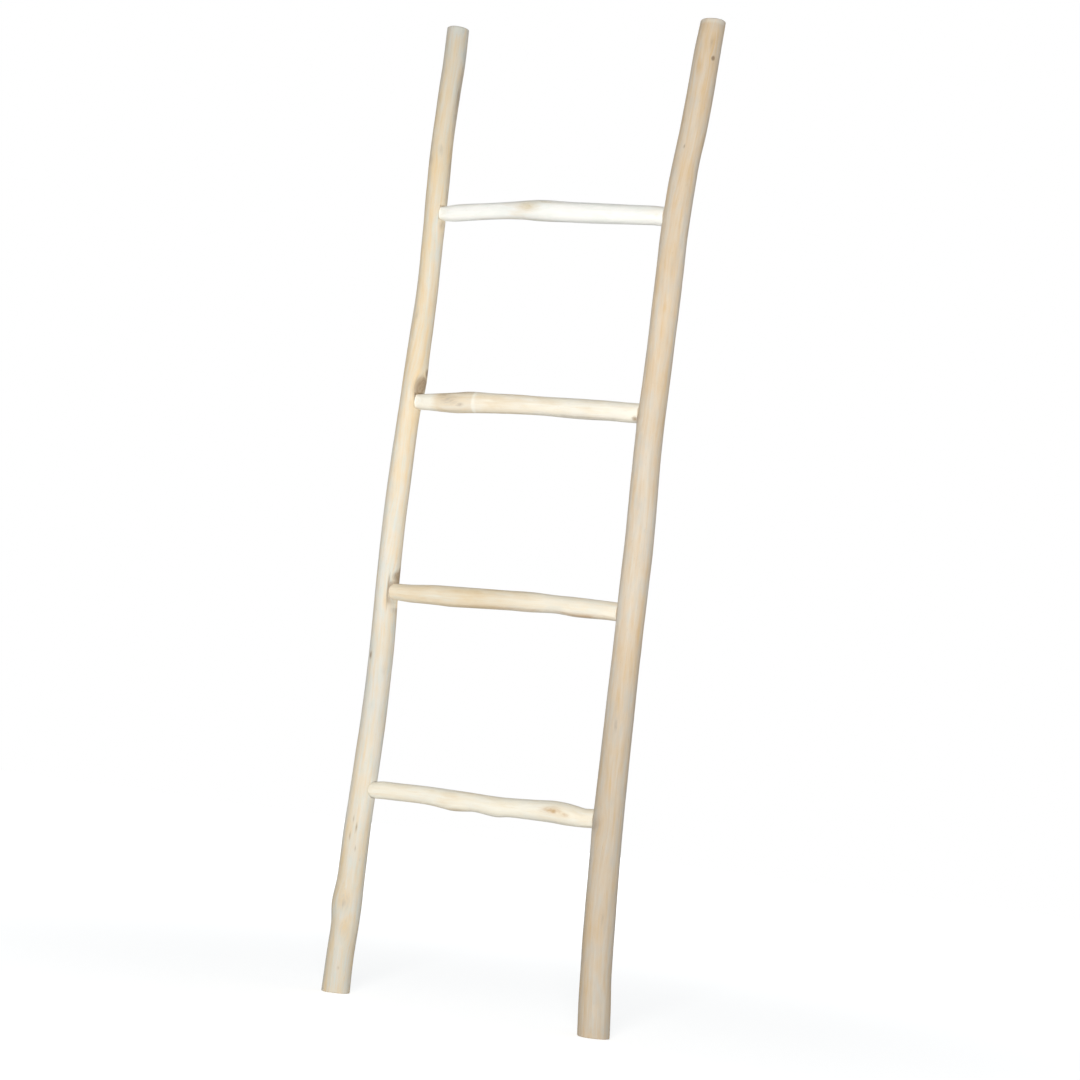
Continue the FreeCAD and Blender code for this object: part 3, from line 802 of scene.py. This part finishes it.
def whittle(radii, angles, from_shoulder, length, first_radius, end_radius, rng):
    """Knife cuts: flat slices at three slopes round the taper, softened by sanding."""
    total = np.exp(-CUT_CRISPNESS * (radii - TENON_RADIUS))
    for share, count in KNIFE_CUTS:
        first = rng.uniform(0, 2 * math.pi)
        for i in range(count):
            facing = first + 2 * math.pi * (i + rng.uniform(-0.22, 0.22)) / count
            at = (share + rng.uniform(-0.05, 0.05)) * length
            low, high = (rung_taper_radius(at + step, length, first_radius, end_radius)
                         for step in (-CUT_HALF_LENGTH, CUT_HALF_LENGTH))
            slope = max(float(high - low) / (2 * CUT_HALF_LENGTH), 0.03)
            flat = 0.5 * float(low + high) - CUT_DEPTH + slope * (from_shoulder - at)
            toward = np.cos(angles - facing)
            reach = np.maximum(flat, TENON_RADIUS - 0.2) / np.maximum(toward, 0.35)
            reach = np.where(toward > 0.35, reach, FAR)
            total = total + np.exp(-CUT_CRISPNESS * np.clip(reach - TENON_RADIUS, -2, 60))
    return TENON_RADIUS - np.log(total) / CUT_CRISPNESS


def make_rung(name, seed, material):
    """Lofts a rung from tenon to tenon, whittles its left end, and finishes it."""
    here, there, along = joint_line(name)
    body = RUNG_BODIES[name]
    behind = np.cross((0, 0, 1.0), along)
    above = np.cross(along, behind)
    height_share = RUNG_HEIGHTS[name] / RAIL_LENGTH
    left_radius = float(smooth_along(LEFT_RAIL_SECTIONS, height_share)[2])
    right_radius = float(smooth_along(RIGHT_RAIL_SECTIONS, height_share)[2])
    scarred = name == SCAR_RUNG
    left_taper = LONG_TAPER_LENGTH if scarred else TAPER_LENGTH
    span = float(np.linalg.norm(there - here))
    left_shoulder = left_radius + RAIL_FLUTE_DEPTH + SHOULDER_GAP - (SCAR_DEPTH if scarred else 0.0)
    right_shoulder = span - (right_radius + RAIL_FLUTE_DEPTH + SHOULDER_GAP)
    body_start = left_shoulder + left_taper
    body_end = right_shoulder - TAPER_LENGTH
    body_length = body_end - body_start

    def drift_at(station):
        """Wander of the branch's middle: on the body from its sections, fading over the tapers."""
        wander = smooth_along(body, np.clip((station - body_start) / body_length, 0, 1))[..., :2]
        fade_in = np.clip((station - left_shoulder) / left_taper, 0, 1)
        fade_out = np.clip((right_shoulder - station) / TAPER_LENGTH, 0, 1)
        return wander * (fade_in * fade_out)[..., None]

    def centre_at(station):
        drift = drift_at(station)
        straight = here + station[..., None] * along
        return straight + drift[..., :1] * behind + drift[..., 1:] * above

    def plain_radius_at(station):
        return smooth_along(body, np.clip((station - body_start) / body_length, 0, 1))[..., 2]

    branch = Branch(name, behind, above, centre_at, RUNG_KNOTS_AND_SHADE[name], RUNG_WASH[name], span, seed)
    tenon_reach = MORTISE_PAST_AXIS - TENON_END_GAP
    start, end = -tenon_reach, span + tenon_reach
    stations = np.concatenate([
        np.linspace(start, SEATS_FROM, 9, endpoint=False),
        np.arange(SEATS_FROM, left_shoulder, SEAT_RING_GAP),
        np.arange(left_shoulder, body_start + 3, TAPER_RING_GAP),
        np.arange(body_start + 3.5, body_end - 3, BODY_RING_GAP),
        np.arange(body_end - 2.6, right_shoulder, TAPER_RING_GAP),
        np.arange(right_shoulder, right_shoulder + 6, SEAT_RING_GAP),
        np.linspace(right_shoulder + 6.2, end, 8),
    ])
    angles = np.linspace(-math.pi, math.pi, RUNG_SIDES, endpoint=False)
    spread = np.broadcast_to(stations[:, None], (len(stations), len(angles)))
    plain = plain_radius_at(stations)[:, None]
    twist = FLUTE_TWIST * np.clip((stations[:, None] - body_start) / body_length, 0, 1)
    natural = plain + RUNG_FLUTE_DEPTH * np.cos(FLUTES * angles + twist)
    relief = peeled_relief(spread, np.broadcast_to(angles, spread.shape), plain, branch.knots, seed)
    natural = natural + RUNG_RELIEF * relief
    rng = np.random.default_rng(seed)
    length, first_radius, end_radius = WHITTLED[name]
    # The left end stops at the seat cut in the rail, or at the rail's own round side.
    back_by, up_by = first_radius * np.cos(angles), first_radius * np.sin(angles)
    seat = LEFT_SEATS[name][0]
    if scarred:
        sweep_rise = up_by ** 2 / (2 * SCAR_SWEEP_RADIUS)
        seat = (seat + sweep_rise - back_by * math.sin(SCAR_TURN)) / math.cos(SCAR_TURN)
    round_side = np.sqrt((left_radius + RAIL_FLUTE_DEPTH + SHOULDER_GAP) ** 2 - back_by ** 2)
    from_left = stations[:, None] - np.minimum(round_side, seat + SEAT_GAP)
    cut = whittle(natural, angles, from_left, length, first_radius, end_radius, rng)
    radii = np.where(from_left < length * 1.8 + 20, np.minimum(natural, cut), natural)
    if name in FRONT_FLAT:
        toward = np.maximum(np.cos(angles - math.pi), 0.3)
        flat = FRONT_FLAT[name] + FLAT_RISE * np.maximum(from_left, 0)
        radii = np.minimum(radii, flat / toward)
    from_right = span - RIGHT_SEATS[name][0] - SEAT_GAP - stations[:, None]
    on_tenon = (from_left < 0) | (from_right < 0)
    radii = np.where(on_tenon, TENON_RADIUS, radii)
    mesh = branch.mesh(stations, radii, angles, RUNG_END_RINGS)
    piece = bpy.data.objects.new(name + "_wood", mesh)
    bpy.context.scene.collection.objects.link(piece)
    nail_slot(piece, here, along, left_radius)
    nail_slot(piece, there, -along, right_radius)
    branch.mark(piece.data, plain_radius_at)
    finish_piece(piece.data, material, RUNG_CREASE)
    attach(piece, "root")
    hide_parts(name)


# Their colours are in the same order as the rails'.
RUNG_STREAKS = 0.8
RUNG_TONES = {
    "rung_1": ("#e8dcc2", "#fdfcf7", "#f7f8f2", "#d2bc8c", "#fdfcf4"),
    "rung_2": ("#e8d2ae", "#fcf7e8", "#f8f2e4", "#ab957c", "#fefcf2"),
    "rung_3": ("#e6cfa8", "#f8f0de", "#f1ebdb", "#c39e74", "#f4e4cc"),
    "rung_4": ("#ead6b4", "#fbf6e6", "#f6f1e2", "#c9a472", "#f9f4e4"),
}
for number, (rung_name, tones) in enumerate(RUNG_TONES.items()):
    rung_teak = whitewashed_teak(rung_name + "_whitewashed_teak", *tones, RUNG_STREAKS)
    make_rung(rung_name, 41 + 7 * number, rung_teak)

# ======================================================================================
# BRADS
# Eight headless brads of bright drawn wire, cut square, driven in from behind through
# each tenon and set a millimetre under the surface. They keep the model's own shape.
# ======================================================================================


def bright_brad_wire(name):
    """Low-carbon steel wire, drawn and left bright: grey, with fine lines along its length."""
    material = bpy.data.materials.new(name)
    material.use_nodes = True
    tree = material.node_tree
    tree.nodes.clear()
    place = node(tree, "ShaderNodeNewGeometry").outputs["Position"]
    # Die lines 0.15 mm apart and 6 mm long run along the shank, which lies along Y.
    per_line = (1 / (0.15 * MM), 1 / (6 * MM), 1 / (0.15 * MM))
    lines = node(tree, "ShaderNodeVectorMath", "MULTIPLY", i0=place, i1=per_line)
    noise = node(tree, "ShaderNodeTexNoise", Vector=lines, Scale=1.0, Detail=2.0)
    tone = node(tree, "ShaderNodeMix", COLOURS, Factor=noise, i6=linear("#8f8f8d"),
                i7=linear("#b9b9b6"))
    roughness = node(tree, "ShaderNodeMapRange", Value=noise, To_Min=0.28, To_Max=0.5)
    bump = node(tree, "ShaderNodeBump", Strength=0.3, Distance=0.03 * MM, Height=noise)
    shader = node(tree, "ShaderNodeBsdfPrincipled", Base_Color=tone.outputs[2], Metallic=1.0,
                  Roughness=roughness, Normal=bump)
    node(tree, "ShaderNodeOutputMaterial", Surface=shader)
    return material


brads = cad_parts["joint_nails"]
brads.data.materials.clear()
brads.data.materials.append(bright_brad_wire("bright_brad_wire"))

# ======================================================================================
# STUDIO
# A plain white floor that fades into a white background, one large soft lamp beside the
# camera, and a white surround that fills in the shadows.
# ======================================================================================
HALF_FLOOR = 6.0
FEET_LIFT = 0.64
LIFT_FROM, LIFT_TO = 0.4, 3.0
corner_signs = ((-1, -1), (1, -1), (1, 1), (-1, 1))
floor_corners = [(x * HALF_FLOOR, y * HALF_FLOOR, 0) for x, y in corner_signs]
floor_mesh = bpy.data.meshes.new("studio_floor")
floor_mesh.from_pydata(floor_corners, [], [(0, 1, 2, 3)])
studio_floor = bpy.data.objects.new("studio_floor", floor_mesh)
bpy.context.scene.collection.objects.link(studio_floor)


def sees_background(tree):
    """1 for the rays that show the background: the camera's, reflected ones, and through glass."""
    path = node(tree, "ShaderNodeLightPath")
    seen = node(tree, "ShaderNodeMath", "MAXIMUM", i0=path.outputs["Is Camera Ray"],
                i1=path.outputs["Is Glossy Ray"])
    return node(tree, "ShaderNodeMath", "MAXIMUM", i0=seen, i1=path.outputs["Is Transmission Ray"])


floor_paint = bpy.data.materials.new("white_studio_floor")
floor_paint.use_nodes = True
tree = floor_paint.node_tree
tree.nodes.clear()
matt = node(tree, "ShaderNodeBsdfDiffuse", Color=linear("#f0f0f0"))
# What the camera and reflections see is lifted to the background's white, and the shadow
# stays in it. The lift is smallest round the feet, where the lamp lights the floor itself.
seen = sees_background(tree)
place = node(tree, "ShaderNodeNewGeometry").outputs["Position"]
away = node(tree, "ShaderNodeVectorMath", "LENGTH", i0=place).outputs["Value"]
lift = node(tree, "ShaderNodeMapRange", SOFTLY, Value=away,
            From_Min=LIFT_FROM, From_Max=LIFT_TO, To_Min=FEET_LIFT, To_Max=1.0)
lift = node(tree, "ShaderNodeEmission", Color=(1, 1, 1, 1), Strength=lift)
both = node(tree, "ShaderNodeAddShader", i0=matt, i1=lift)
surface = node(tree, "ShaderNodeMixShader", i0=seen, i1=matt, i2=both)
node(tree, "ShaderNodeOutputMaterial", Surface=surface)
floor_mesh.materials.append(floor_paint)

SURROUND_LEVEL = 0.44
SURROUND_RISE = (0.0, 0.17, -0.22)
world = bpy.data.worlds.new("white_surround")
bpy.context.scene.world = world
world.use_nodes = True
tree = world.node_tree
tree.nodes.clear()
seen = sees_background(tree)
# The surround lights the ladder most from behind, where no lamp stands, and least from
# overhead. It is a little cooler than the lamp, as daylight in the shadows is.
toward = node(tree, "ShaderNodeTexCoord").outputs["Generated"]
rise = node(tree, "ShaderNodeVectorMath", "DOT_PRODUCT", i0=toward, i1=SURROUND_RISE)
level = node(tree, "ShaderNodeMath", "ADD", i0=rise.outputs["Value"], i1=SURROUND_LEVEL)
strength = node(tree, "ShaderNodeMapRange", Value=seen, i3=level, To_Max=1.0)
tint = node(tree, "ShaderNodeMix", COLOURS, Factor=seen, i6=linear("#f7fcff"), i7=linear("#ffffff"))
sky = node(tree, "ShaderNodeBackground", Color=tint.outputs[2], Strength=strength)
node(tree, "ShaderNodeOutputWorld", Surface=sky)

SOFT_BOX_WIDTH = 1.2
SOFT_BOX_WATTS = 121.0
SOFT_BOX_PLACE = (1.42, -3.74, 0.70)
LADDER_MIDDLE = Vector((0, 0, 0.75))
lamp_data = bpy.data.lights.new("soft_box", "AREA")
lamp_data.shape = "SQUARE"
lamp_data.size = SOFT_BOX_WIDTH
lamp_data.energy = SOFT_BOX_WATTS
lamp_data.color = linear("#fffdfa")[:3]
soft_box = bpy.data.objects.new("soft_box", lamp_data)
soft_box.location = SOFT_BOX_PLACE
soft_box.rotation_euler = (LADDER_MIDDLE - soft_box.location).to_track_quat("-Z", "Y").to_euler()
bpy.context.scene.collection.objects.link(soft_box)

# ======================================================================================
# CAMERA
# A long lens, 3.6 m away and to the right. The ladder leans back in the photograph, so
# here, where it stands upright, the camera takes the lean instead.
# ======================================================================================
CAMERA_PLACE = (1.552708, -3.227317, 0.398117)
CAMERA_RIGHT = (0.902856, 0.413206, 0.118795)
CAMERA_UP = (-0.071325, -0.128528, 0.989138)
LENS, SENSOR_WIDTH = 80.0, 36.0
camera_data = bpy.data.cameras.new("camera")
camera_data.lens, camera_data.sensor_width = LENS, SENSOR_WIDTH
camera = bpy.data.objects.new("camera", camera_data)
right, up = np.array(CAMERA_RIGHT), np.array(CAMERA_UP)
back = np.cross(right, up)
turn = np.eye(4)
turn[:3, 0], turn[:3, 1], turn[:3, 2], turn[:3, 3] = right, up, back, CAMERA_PLACE
camera.matrix_world = Matrix(turn.tolist())
bpy.context.scene.collection.objects.link(camera)
bpy.context.scene.camera = camera

bpy.context.scene.view_settings.view_transform = "Standard"
